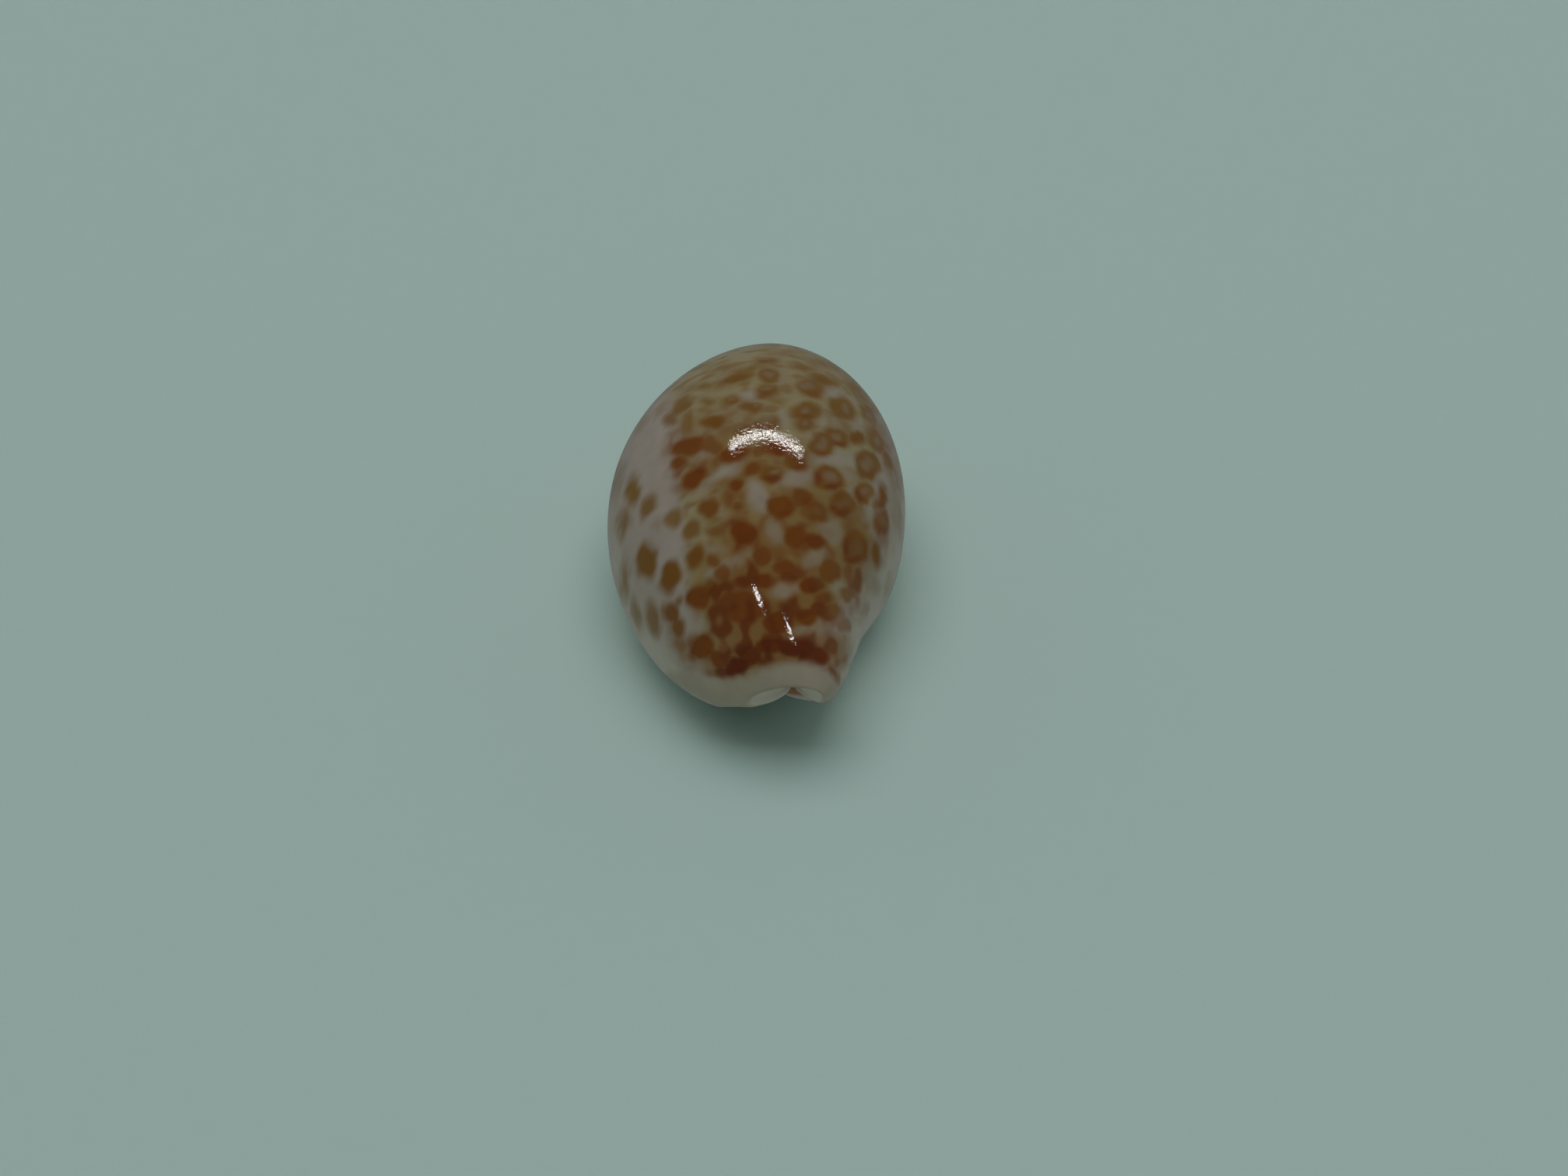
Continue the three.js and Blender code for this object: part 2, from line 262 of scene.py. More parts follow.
# Soft brown blotches under the spots: x, y, half length, half width, tilt, strength, depth.
BLOTCHES = [
    (985, 785, 82, 54, 0, 0.95, 0.75),
    (975, 815, 48, 24, 0, 0.9, 0.7),
    (1068, 835, 18, 28, 20, 0.85, 0.5),
    (1095, 700, 26, 34, 0, 0.7, 0.45),
    (1010, 705, 80, 44, 0, 0.65, 0.45),
    (1045, 655, 70, 34, 5, 0.45, 0.35),
    (925, 600, 56, 40, 25, 0.4, 0.3),
    (955, 748, 36, 28, 0, 0.95, 0.75),
    (1010, 735, 34, 20, 0, 0.9, 0.6),
    (975, 785, 48, 24, 0, 1.0, 0.8),
    (1035, 760, 30, 24, 0, 0.9, 0.65),
    (955, 688, 26, 24, 0, 0.9, 0.65),
    (1030, 690, 34, 20, -8, 0.85, 0.55),
    (1003, 655, 28, 20, 0, 0.8, 0.45),
    (945, 638, 15, 30, 0, 0.8, 0.45),
    (893, 608, 30, 22, 40, 0.8, 0.5),
    (884, 570, 30, 20, 20, 0.8, 0.45),
    (1000, 836, 72, 19, 3, 1.0, 1.0),
    (1012, 834, 45, 14, -4, 1.0, 1.0),
    (945, 852, 36, 20, 15, 0.95, 0.85),
    (905, 832, 28, 20, 0, 0.8, 0.55),
    (1098, 735, 15, 44, 0, 0.8, 0.45),
    (1005, 580, 44, 15, -8, 0.85, 0.6),
    (945, 590, 38, 18, 10, 0.85, 0.55),
    (930, 545, 44, 16, 10, 0.6, 0.3),
    (1070, 852, 14, 18, -45, 0.7, 0.5),
    (1055, 795, 30, 20, 0, 0.7, 0.45),
    (1075, 660, 45, 24, -10, 0.6, 0.4),
    (1055, 615, 40, 16, -10, 0.5, 0.4),
    (1060, 500, 46, 16, -22, 0.3, 0.1),
    (1112, 515, 38, 8, -57, 0.8, 0.3),
    (1140, 585, 40, 8, -72, 0.8, 0.3),
    (1135, 665, 10, 40, 0, 0.7, 0.4),
]
# Eyed spots: the ring's x, y, half length, half width and tilt, then the pale eye's.
EYED_SPOTS = [
    ((985, 464, 14, 5, 3), (985, 461, 7, 2, 0)),
    ((990, 483, 13, 10, 0), (990, 482, 7, 5, 0)),
    ((1043, 500, 17, 11, -25), (1039, 497, 11, 6, -12)),
    ((986, 503, 14, 8, 0), (985, 501, 7, 3, 0)),
    ((940, 516, 13, 7, 8), (940, 514, 6, 3, 0)),
    ((967, 524, 14, 7, -5), (972, 522, 4, 3, 0)),
    ((1036, 531, 18, 12, 0), (1036, 529, 8, 5, 0)),
    ((1036, 546, 12, 8, 0), (1036, 546, 7, 4, 0)),
    ((984, 545, 17, 9, 0), (985, 540, 9, 6, 0)),
    ((953, 553, 12, 7, 20), (951, 551, 7, 4, 20)),
    ((1084, 525, 18, 12, -35), (1086, 525, 7, 5, -35)),
    ((1077, 562, 17, 12, -20), (1076, 561, 7, 6, 0)),
    ((1057, 573, 14, 14, 0), (1056, 572, 8, 7, 90)),
    ((1116, 599, 18, 18, 0), (1115, 598, 9, 9, 0)),
    ((1102, 503, 18, 5, -50), (1105, 510, 8, 3, -52)),
    ((1116, 532, 15, 6, -62), (1117, 534, 7, 3, -62)),
    ((1127, 566, 20, 9, -68), (1127, 566, 9, 4, -75)),
    ((1022, 592, 17, 11, -38), (1026, 588, 6, 4, -38)),
    ((992, 609, 16, 11, 0), (998, 605, 7, 4, 0)),
    ((1066, 616, 21, 15, -20), (1068, 616, 11, 7, -30)),
    ((1045, 657, 16, 15, 0), (1050, 656, 7, 6, 0)),
    ((1110, 634, 13, 13, 0), (1113, 632, 7, 6, 0)),
    ((1082, 650, 17, 16, 0), (1082, 648, 8, 6, 0)),
    ((1134, 672, 18, 9, 95), (1133, 667, 6, 4, 90)),
    ((1099, 704, 24, 16, 92), (1100, 706, 12, 8, 90)),
]
# Where a spot's brown is deeper: x, y, half length, half width, tilt, depth.
DEEPER = [
    (985, 466, 7, 2, 0, 0.5),
    (1049, 508, 9, 7, 0, 0.6),
    (985, 506, 9, 3, 0, 0.5),
    (1040, 537, 9, 5, 0, 0.5),
    (985, 550, 13, 3, 0, 0.5),
    (1077, 536, 8, 5, 0, 0.5),
    (1078, 570, 10, 5, 0, 0.55),
    (1059, 583, 9, 4, 0, 0.4),
    (1116, 608, 10, 6, 0, 0.4),
    (1132, 579, 8, 6, 90, 0.4),
    (1030, 600, 9, 4, 0, 0.6),
    (993, 615, 11, 5, 0, 0.7),
    (1072, 627, 9, 5, 0, 0.7),
    (1050, 613, 10, 6, 90, 0.6),
    (1106, 637, 8, 5, -50, 0.6),
    (1070, 655, 7, 6, 0, 0.6),
    (1085, 663, 13, 6, -35, 0.6),
    (1133, 684, 6, 6, 0, 0.5),
    (1088, 703, 12, 5, 90, 0.65),
    (1098, 720, 9, 6, 0, 0.6),
    (1010, 662, 8, 6, 0, 0.55),
    (1035, 643, 7, 6, 0, 0.6),
    (901, 605, 8, 6, 0, 0.7),
    (948, 855, 12, 8, 0, 1.0),
]
# Pale patches of the ground between the spots: x, y, half length, half width, tilt, strength.
PALE_PATCHES = [
    (963, 507, 8, 5, 10, 1.0),
    (903, 587, 9, 5, 35, 0.7),
    (932, 606, 24, 6, 33, 1.0),
    (905, 628, 14, 7, 40, 0.5),
    (1008, 538, 9, 8, 90, 0.7),
    (1070, 503, 14, 6, -18, 0.9),
    (1092, 514, 12, 5, -35, 0.6),
    (1102, 545, 13, 6, -5, 0.7),
    (1060, 540, 10, 8, 90, 0.4),
    (1075, 592, 28, 9, -5, 0.85),
    (1090, 612, 10, 8, 90, 0.6),
    (1026, 614, 22, 10, 15, 0.8),
    (976, 640, 19, 11, -60, 0.9),
    (995, 683, 15, 10, -70, 0.65),
    (930, 660, 8, 8, 0, 0.3),
    (1095, 636, 13, 7, 80, 0.7),
    (1118, 657, 11, 8, 80, 0.7),
    (1068, 682, 17, 13, -60, 0.6),
    (1047, 718, 14, 9, 20, 0.6),
    (1078, 757, 10, 8, 90, 0.6),
    (1140, 627, 14, 6, -70, 0.9),
    (1145, 660, 20, 4, 90, 0.6),
    (940, 722, 14, 9, 20, 0.6),
    (957, 711, 8, 6, 0, 0.5),
    (920, 705, 10, 5, 0, 0.5),
    (915, 742, 9, 8, 90, 0.7),
    (1008, 760, 16, 9, 15, 0.7),
    (902, 803, 11, 7, 80, 0.7),
    (890, 800, 14, 10, 90, 0.5),
    (1036, 808, 14, 8, 15, 0.6),
    (1057, 808, 12, 8, 0, 0.5),
]
# White glaze over the front end, below the dark band: x, y, half length, half width, tilt, strength.
FRONT_GLAZE = [
    (900, 893, 48, 22, -25, 1.0),
    (955, 895, 60, 20, 0, 1.0),
    (1010, 872, 42, 16, 8, 1.0),
    (1045, 887, 30, 24, 0, 1.0),
]
# How far outside its ellipse each kind of cover fades out, in photo pixels.
SPOT_EDGE = 6.0
WASH_EDGE = 18.0
BLOTCH_EDGE = 12.0
EYE_EDGE = 5.0
EYE_EDGE_SHARE = 0.6  # the most that a narrow eye's edge takes of its half width
PALE_EDGE = 7.0
GLAZE_EDGE = 7.0
EDGE_WITHIN = 0.8  # how far the fading starts inside the ellipse, as a share of the edge
SPOT_GROWTH = 1.08  # how many times larger every ellipse is drawn
EYE_GROWTH = 0.75  # the same for eyes, before that
# How far over the shell one cover can reach: so many times its ellipse and so many millimetres
# more. It fades out from this share of that.
COVER_REACH = SimpleNamespace(times=1.6, more=0.35, fades_from=0.8)

# How strong the eyes are on the back and towards the front, and between which y of the photo the
# first changes into the second.
EYE_STRENGTH = (0.7, 0.22)
EYE_FADE = (615, 660)
RING = SimpleNamespace(strength=0.95, depth=0.2)
BLOTCH_LEAVES_PALE = 0.85  # how much of a pale patch shows through a blotch
MOTTLE_LEAVES_PALE = 0.9
# The brown gets redder towards the front, between these places, as -y, and is this red at the rear.
REDDENS = (-4.0, 1.0)
LEAST_RED = 0.35

# How the edges are bent out of their ellipses: over how many millimetres, by how many photo pixels.
WARPS = [(1.3, 2.0), (0.6, 0.7)]
# Brown mottling between the spots: the values of its waves from which it starts and is full, how
# strong and how deep it gets.
MOTTLE = SimpleNamespace(start=0.1, full=1.1, strength=0.55, depth=0.35)
# The uneven strength of the blotches: the least, and between which values of its waves it grows.
UNEVEN = SimpleNamespace(least=0.5, start=-0.9, full=0.7)
# Smooth waves that make edges and strengths uneven: about how long, in millimetres, and their seed.
HIDDEN_WAVES = (1.3, 13)
UNEVEN_WAVES = (0.95, 16)
MOTTLE_WAVES = (0.95, 17)
TAN_WAVES = (2.2, 15)
DENSE_WAVES = (3.5, 4)
MARGIN_WAVES = (2.5, 6)
WAVE_COUNT = 9
WAVE_SPREAD = (0.7, 1.5)  # the shortest and the longest wave, as shares of the given length

# The dense pattern covers an oval of the back, seen from above: centre and half sizes.
DENSE_CENTRE = np.array([1.2, -0.5])
DENSE_HALF = np.array([4.8, 11.5])
DENSE_SPREADS = 0.45  # how much its left side widens with each millimetre towards the rear
DENSE_EDGE = SimpleNamespace(start=0.9, end=1.06, uneven=0.05)  # as shares of the oval's size
TAN = SimpleNamespace(strength=0.85, uneven=0.15)

# Heights round the shell, as the sine of a ring's angle: 0 at the margin, 1 at the top, -1 below.
DENSE_FROM = (0.05, 0.3)
# Up to the heights on the next line, the margin's cover paints the ground lighter: painted light
# bounced up from the floor onto the lower flanks.
MARGIN_BOUNCE_LIGHT_TO = SimpleNamespace(full=0.0, none=0.42, uneven=0.06)
BASE_TO = SimpleNamespace(full=-0.3, none=0.02, uneven=0.08)
UPPER_FROM = -0.6  # the photo's places are above this
HIDDEN_FROM = 0.12

# The brown of the aperture's inside: how deep in the lips it starts and is full, and between which
# t, towards both ends, it fades out.
THROAT_DEPTH = (0.72, 0.93)
THROAT_FADE = (0.86, 0.93)
# The white glaze comes in towards the front end, between these places as -t, wherever the brown's
# cover is less than this.
FRONT_WHITE = (0.78, 0.88)
ANY_BROWN = 0.05

# A point counts as shown in the photo, or as hidden, by how far it is turned to the camera.
SHOWN_FROM = 0.02
HIDDEN_BELOW = 0.1

# Spots that the photo doesn't show, on the rear and the far sides. Radius, edge and distance apart
# are in millimetres, and HIDDEN_TO is a t.
HIDDEN_SEED = 7
HIDDEN_TO = 0.93
HIDDEN_RADIUS = (0.34, 0.74)
HIDDEN_SMALLER = 1.5  # above 1, small ones are more common than large ones
HIDDEN_EDGE = 0.17
HIDDEN_STRETCH = 0.25
HIDDEN_BEND = 0.1
HIDDEN_DEPTH = (0.1, 0.5)
HIDDEN_IS_DENSE = 0.4
HIDDEN_DENSE = SimpleNamespace(apart=1.25, strength=0.95)
HIDDEN_SPARSE = SimpleNamespace(apart=2.1, strength=0.7)
HIDDEN_EYE = SimpleNamespace(chance=0.5, size=0.45, edge=0.13, strength=0.9)


def smoothstep(value, low, high):
    """0 below low, 1 above high and smooth between."""
    share = np.clip((value - low) / (high - low), 0, 1)
    return share * share * (3 - 2 * share)


def lerp(a, b, share):
    return a + (b - a) * share


def swell(t, peak, front_power, rear_power):
    """1 at the peak, falling to 0 at both ends; a smaller power makes that end blunter."""
    away = np.where(t < peak, (peak - t) / (peak + 1), (t - peak) / (1 - peak))
    return np.maximum(0, 1 - away**2) ** np.where(t < peak, front_power, rear_power)


def side_at(t, peak, widest, front, rear, front_power, rear_power):
    """One side of the shell at t: away from the rims it swells out to its widest."""
    return lerp(np.where(t < peak, front, rear), widest, swell(t, peak, front_power, rear_power))


def make_ring(left, right, top, bottom, t):
    """The sizes of one superellipse section."""
    return SimpleNamespace(
        x=(left + right) / 2,
        half=(right - left) / 2,
        top=top,
        bottom=bottom,
        middle=lerp(bottom, top, MARGIN_HEIGHT),
        lean=np.where(t < 0, FRONT_LEAN * t * t, 0),
    )


def section_at(t):
    """The outside and the inside ring of the cross-section at t."""

    def nearer(front, rear, name):
        """The named value of the end that t is nearer to."""
        return np.where(t < 0, getattr(front, name), getattr(rear, name))

    ends = np.abs(t)
    to_end = 1 - smoothstep(1 - ends, 0, END_ZONE)

    def outer_side(name, peak, widest):
        powers = [getattr(rim, name + "_power") for rim in (FRONT_RIM, REAR_RIM)]
        return side_at(t, peak, widest, getattr(FRONT_RIM, name), getattr(REAR_RIM, name), *powers)

    def hollow_side(name, peak, widest):
        at = [getattr(canal, name) for canal in (FRONT_CANAL, REAR_CANAL)]
        return side_at(t, peak, widest, *at, FRONT_CANAL.power, REAR_CANAL.power)

    waist = RIGHT_WAIST.depth * np.exp(-(((t - RIGHT_WAIST.at) / RIGHT_WAIST.spread) ** 2))
    body = outer_side("right", WIDEST_RIGHT, WIDTH / 2) - waist
    beak_right = BEAK_RIGHT + BEAK_FLARE.by * smoothstep(1 + t, 0, BEAK_FLARE.over)
    beak = np.where(t < 0, BEAK_BLEND * np.log1p(np.exp((beak_right - body) / BEAK_BLEND)), 0)
    bottom_power = nearer(FRONT_RIM, REAR_RIM, "bottom_power")
    bottom = nearer(FRONT_RIM, REAR_RIM, "bottom") * ends**bottom_power - BASE_SAG * (1 - ends)
    left = outer_side("left", WIDEST_LEFT, -WIDTH / 2)
    outside = make_ring(left, body + beak, outer_side("top", HIGHEST, HEIGHT), bottom, t)
    over, across, high = [
        nearer(FRONT_ROUNDING, REAR_ROUNDING, name) for name in ("over", "across", "high")
    ]
    late = np.clip((ends - 1) / over + 1, 0, 1)
    lower = np.sqrt(1 - late * late * (1 - high**2))
    outside.half = outside.half * np.sqrt(1 - late * late * (1 - across**2))
    outside.top = lerp(outside.middle, outside.top, lower)
    outside.bottom = lerp(outside.middle, outside.bottom, lower)
    inside = make_ring(
        hollow_side("left", WIDEST_LEFT, SIDE_WALL - WIDTH / 2),
        hollow_side("right", WIDEST_RIGHT, WIDTH / 2 - SIDE_WALL),
        hollow_side("top", HIGHEST, HEIGHT - BACK_WALL),
        np.maximum(outside.bottom, 0) + lerp(LIP_HEIGHT, RIM_LIP_HEIGHT, to_end),
        t,
    )
    return SimpleNamespace(
        t=t,
        y=t * LENGTH / 2,
        to_end=to_end,
        cut_back=-np.sign(t) * nearer(FRONT_RIM, REAR_RIM, "cut_back") * to_end,
        outside=outside,
        inside=inside,
    )


def on_ring(ring, angle):
    """x and z of the point of a ring at an angle: 0 at the right margin, a quarter turn at the top."""
    c = np.cos(angle)
    s = np.sin(angle)
    power = np.where(s >= 0, 2 / ROUND_ABOVE, 2 / ROUND_BELOW)
    reach = np.where(s >= 0, ring.top - ring.middle, ring.middle - ring.bottom)
    across = ring.half * np.sign(c) * np.abs(c) ** power
    lean = ring.lean * np.where((s < 0) & (c > 0), 1 + s, 1)
    z = ring.middle + reach * np.sign(s) * np.abs(s) ** power + lean * across
    return ring.x + across, np.maximum(0, z)


def angle_below(ring, x):
    """The angle on a ring's underside that lies at x."""
    share = np.clip((x - ring.x) / ring.half, -UNDERSIDE_REACH, UNDERSIDE_REACH)
    return -np.arccos(np.sign(share) * np.abs(share) ** (ROUND_BELOW / 2))


def aperture_x(t):
    """Where the aperture's centre line lies at t."""
    front = FRONT_HOOK.shift * smoothstep(-t, FRONT_HOOK.start, FRONT_HOOK.end)
    rear = BOW.rear_hook * np.maximum(0, t) ** BOW.rear_power
    return BOW.left + BOW.curve * (t - BOW.start) ** 2 + front + rear


def half_gap(t):
    """Half the aperture's width at t."""
    gap = lerp(GAP.rear, GAP.front, smoothstep(-t, -GAP.rear_at, -GAP.front_at))
    outlet = OUTLET.wider * np.exp(-(((t - OUTLET.at) / OUTLET.spread) ** 2))
    late = np.clip((np.abs(t) - 1) / OUTLET.over + 1, 0, 1)
    closed_to = np.where(t < 0, OUTLET.front_to, OUTLET.rear_to)
    return (gap + outlet) * np.sqrt(1 - late * late * (1 - closed_to**2))


def bite(t, lip):
    """How deep the space between two teeth is cut at t: 0 on a tooth's crest, 1 in a gap."""
    along = (t - TEETH_FROM) / (TEETH_TO - TEETH_FROM)
    fade = smoothstep(along, *TEETH_START) * (1 - smoothstep(along, *TEETH_STOP))
    wave = 0.5 - 0.5 * np.cos(2 * np.pi * (along * lip.teeth + lip.phase))
    return fade * wave**BITE_POWER


def lip_at(section, lip):
    """The lip's profile: down and out from its wall to the base, and up and out to the hollow."""
    t = section.t
    outside = section.outside
    inside = section.inside
    edge = aperture_x(t) + lip.side * half_gap(t)
    room = outside.half - lip.side * (edge - outside.x)
    end_roll = np.where(t < 0, lip.front_roll, lip.rear_roll)
    room_share = np.where(t < 0, lerp(ROLL_ROOM, FRONT_ROLL_ROOM, section.to_end), ROLL_ROOM)
    roll = np.minimum(lerp(lip.roll, end_roll, section.to_end), room * room_share)
    overhang = lerp(OVERHANG_MIDDLE, OVERHANG_END, section.to_end)
    out_angle = angle_below(outside, edge + lip.side * roll)
    notch = np.where(t < 0, 1 - smoothstep(1 + t, 0, NOTCH.over), 0)
    shoulder = NOTCH.shoulder if lip.side > 0 else -np.pi - NOTCH.shoulder
    in_angle = lerp(angle_below(inside, edge + lip.side * overhang), shoulder, notch)
    foot_x, foot_z = on_ring(outside, out_angle)
    ceiling_x, ceiling_z = on_ring(inside, in_angle)
    rise_share = lerp(LIP_EDGE.rise, NOTCH.rise, notch)
    wall_from = foot_z + np.minimum(roll, (ceiling_z - foot_z) * rise_share)
    middle = lerp(wall_from, ceiling_z, LIP_EDGE.middle)
    wall_x = edge + lip.side * lip.bite * bite(t, lip)
    step = np.arange(LIP_STEPS)[None, :]
    turn = np.pi / 2 * (1 - step / LIP_STEPS)
    reach = np.sin(turn)
    rise = 1 - np.cos(turn)
    down = (
        foot_x + (wall_x - foot_x) * reach,
        section.cut_back * (reach + rise) / 2,
        np.where(step > 0, foot_z + (wall_from - foot_z) * rise, middle),
    )
    up = (
        ceiling_x + (wall_x - ceiling_x) * reach,
        section.cut_back + 0 * reach,
        np.where(step > 0, ceiling_z + (middle - ceiling_z) * rise, middle),
    )
    return SimpleNamespace(down=down, up=up, out_angle=out_angle, in_angle=in_angle, reach=reach)


def half_of(first, over, last):
    """Joins a lip's profile, the points round a ring and the other lip's profile in one row."""
    return [np.concatenate([a, b, c[:, ::-1]], axis=1) for a, b, c in zip(first, over, last)]


def round_over(ring, start, end, steps, shift):
    """Points round a ring from the outer lip's foot, over the top, to the inner lip's foot."""
    angle = start - (2 * np.pi + start - end) * np.arange(steps + 1)[None, :] / steps
    x, z = on_ring(ring, angle)
    return (x, shift + 0 * x, z), angle


def points_of(half, y):
    """The points of one side, from its x, its shift from y and its z."""
    x, shift, z = half
    return np.stack([x, y + shift, z], axis=-1)


def shell_grid():
    """The outside and inside points by row, and the outside's angle and depth into the lips."""
    u = np.linspace(0, 1, ROWS + 1)[:, None]
    section = section_at(EVEN_SHARE * (2 * u - 1) - (1 - EVEN_SHARE) * np.cos(np.pi * u))
    left = lip_at(section, OUTER_LIP)
    right = lip_at(section, INNER_LIP)
    over, angle = round_over(section.outside, left.out_angle, right.out_angle, OUTSIDE_STEPS, 0)
    under, _ = round_over(section.inside, left.in_angle, right.in_angle, INSIDE_STEPS, section.cut_back)
    none = np.zeros((ROWS + 1, 1))
    depth = np.concatenate([left.reach + none, 0 * angle, right.reach[:, ::-1] + none], axis=1)
    lip = np.ones((1, LIP_STEPS))
    lip_angles = (left.out_angle * lip, right.out_angle * lip - 2 * np.pi)
    angles = np.concatenate([lip_angles[0], angle, lip_angles[1]], axis=1)
    return SimpleNamespace(
        outside=points_of(half_of(left.down, over, right.down), section.y),
        inside=points_of(half_of(left.up, under, right.up), section.y),
        angle=angles,
        depth=depth,
        t=section.t,
    )


def quads(a, b, c, d):
    """Faces whose corners are four grids of point numbers."""
    return np.stack([x.ravel() for x in (a, b, c, d)], axis=1).tolist()


def inside_share(count):
    """For each point of an outside row, the place along the inside row that belongs to it."""
    i = np.arange(count)
    over = np.clip(i - LIP_STEPS, 0, OUTSIDE_STEPS) / OUTSIDE_PER_INSIDE
    return np.minimum(i, LIP_STEPS) + over + np.maximum(0, i - LIP_STEPS - OUTSIDE_STEPS)


def close_end(points, faces, out_row, in_row, end):
    """Closes an end: a rounded rim from the outside points over a crest to the inside points."""
    count = len(out_row)
    place = inside_share(count)
    low = np.floor(place).astype(int)
    high = np.minimum(low + 1, len(in_row) - 1)
    flat = np.concatenate(points)
    outer = flat[out_row]
    inner = lerp(flat[in_row[low]], flat[in_row[high]], (place - low)[:, None])
    before = out_row
    total = len(flat)
    for step in range(1, RIM_STEPS):
        turn = lerp(RIM_FROM, np.pi, step / RIM_STEPS)
        share = (np.cos(RIM_FROM) - np.cos(turn)) / (np.cos(RIM_FROM) + 1)
        crest = lerp(outer, inner, share)
        crest[:, 1] += end * RIM_BULGE * (np.sin(turn) - np.sin(RIM_FROM) * (1 - share))
        after = np.concatenate([[out_row[0]], total + np.arange(count - 2), [out_row[-1]]])
        points.append(crest[1:-1])
        total += count - 2
        faces.extend(ring_faces(before, after, end))
        before = after
    faces.extend(ring_faces(before, in_row[np.floor(place).astype(int)], end))


def ring_faces(before, after, end):
    """The faces between two rows of points, without the corners that both rows share."""
    made = []
    for i in range(len(before) - 1):
        corners = [before[i], before[i + 1], after[i + 1], after[i]]
        if end < 0:
            corners.reverse()
        kept = [int(c) for c, following in zip(corners, corners[1:] + corners[:1]) if c != following]
        if len(kept) > 2:
            made.append(kept)
    return made


def shell_mesh(grid):
    """The shell's mesh in metres and all its points, also in metres."""
    rows, out_count, _ = grid.outside.shape
    in_count = grid.inside.shape[1]
    out = np.arange(rows * out_count).reshape(rows, out_count)
    within = out.size + np.arange(rows * (in_count - 2)).reshape(rows, in_count - 2)
    inn = np.concatenate([out[:, :1], within, out[:, -1:]], axis=1)
    points = [grid.outside.reshape(-1, 3), grid.inside[:, 1:-1].reshape(-1, 3)]
    faces = quads(out[:-1, :-1], out[:-1, 1:], out[1:, 1:], out[1:, :-1])
    faces += quads(inn[:-1, 1:], inn[:-1, :-1], inn[1:, :-1], inn[1:, 1:])
    close_end(points, faces, out[0], inn[0], -1)
    close_end(points, faces, out[-1], inn[-1], 1)
    placed = np.concatenate(points)
    low = placed.min(axis=0)
    high = placed.max(axis=0)
    origin = np.array([(low[0] + high[0]) / 2, (low[1] + high[1]) / 2, low[2]])
    stands = np.array([(node_low.x + node_high.x) / 2, (node_low.y + node_high.y) / 2, node_low.z])
    placed = (placed - origin) * MM + stands
    mesh = bpy.data.meshes.new("shell_fine")
    mesh.from_pydata(placed.tolist(), [], faces)
    mesh.validate()
    mesh.shade_smooth()
    return mesh, placed


def photo_place(points):
    """The photo's pixel at which a point, in millimetres, is seen."""
    right = np.array([math.cos(CAMERA_AZIMUTH), math.sin(CAMERA_AZIMUTH), 0])
    up = np.cross(TO_CAMERA, right)
    offset = points - CAMERA_AT
    scale = LENS / SENSOR * PHOTO_WIDTH / -(offset @ TO_CAMERA)
    x = PHOTO_WIDTH / 2 + offset @ right * scale
    y = PHOTO_HEIGHT / 2 - offset @ up * scale
    return np.stack([x, y], axis=-1)


def ripple(points, wavelength, seed):
    """Smooth values, mostly between -1 and 1, that change over the given length."""
    random = np.random.default_rng(seed)
    total = np.zeros(len(points))
    for _ in range(WAVE_COUNT):
        direction = random.normal(size=3)
        direction *= 2 * np.pi / wavelength / random.uniform(*WAVE_SPREAD) / np.linalg.norm(direction)
        total += np.sin(points @ direction + random.uniform(0, 2 * np.pi))
    return total / math.sqrt(WAVE_COUNT)


class Pattern:
    """Makes the covers of spots and patches, one value for each point of the outside."""

    def __init__(self, points, normals, upper):
        self.points = points
        self.normals = normals
        self.facing = normals @ TO_CAMERA
        self.seen = upper & (self.facing > SHOWN_FROM)
        self.bend = HIDDEN_BEND * ripple(points, *HIDDEN_WAVES)
        self.pixels_true = photo_place(points)
        self.pixels = self.pixels_true.copy()
        for number, (length, reach) in enumerate(WARPS):
            bends = [ripple(points, length, 2 * number + axis) for axis in (1, 2)]
            self.pixels += reach * np.stack(bends, axis=-1)
        self.anchors = []

    def anchor(self, x, y):
        """The point that the photo shows at a pixel, or the nearest one to it."""
        away = np.hypot(*(self.pixels_true - (x, y)).T)
        return int(np.argmin(np.where(self.seen, away, np.inf)))

    def in_photo(self, x, y, length, width, tilt, edge=SPOT_EDGE):
        """The cover of an ellipse that is given in photo pixels, with a slightly uneven edge."""
        centre = self.anchor(x, y)
        self.anchors.append(self.points[centre])
        limit = COVER_REACH.times * max(length, width) / PIXELS_PER_MM + COVER_REACH.more
        away = np.linalg.norm(self.points - self.points[centre], axis=1)
        cover = np.zeros(len(self.points))
        near = away < limit
        dx, dy = (self.pixels[near] - (x, y)).T
        turn = math.radians(tilt)
        along = (dx * math.cos(turn) - dy * math.sin(turn)) / length
        across = (dx * math.sin(turn) + dy * math.cos(turn)) / width
        outside = (np.hypot(along, across) - SPOT_GROWTH) * min(length, width)
        cover[near] = 1 - smoothstep(outside, -edge * EDGE_WITHIN, edge)
        return cover * (1 - smoothstep(away, COVER_REACH.fades_from * limit, limit))

    def on_shell(self, centre, radius, stretch, edge=HIDDEN_EDGE):
        """The cover of an oval spot round a point of the shell, stretched along a direction."""
        offset = self.points - centre
        along = offset @ stretch
        offset = offset - HIDDEN_STRETCH * along[:, None] * stretch
        outside = np.linalg.norm(offset, axis=1) + self.bend - radius
        return 1 - smoothstep(outside, -edge * EDGE_WITHIN, edge)


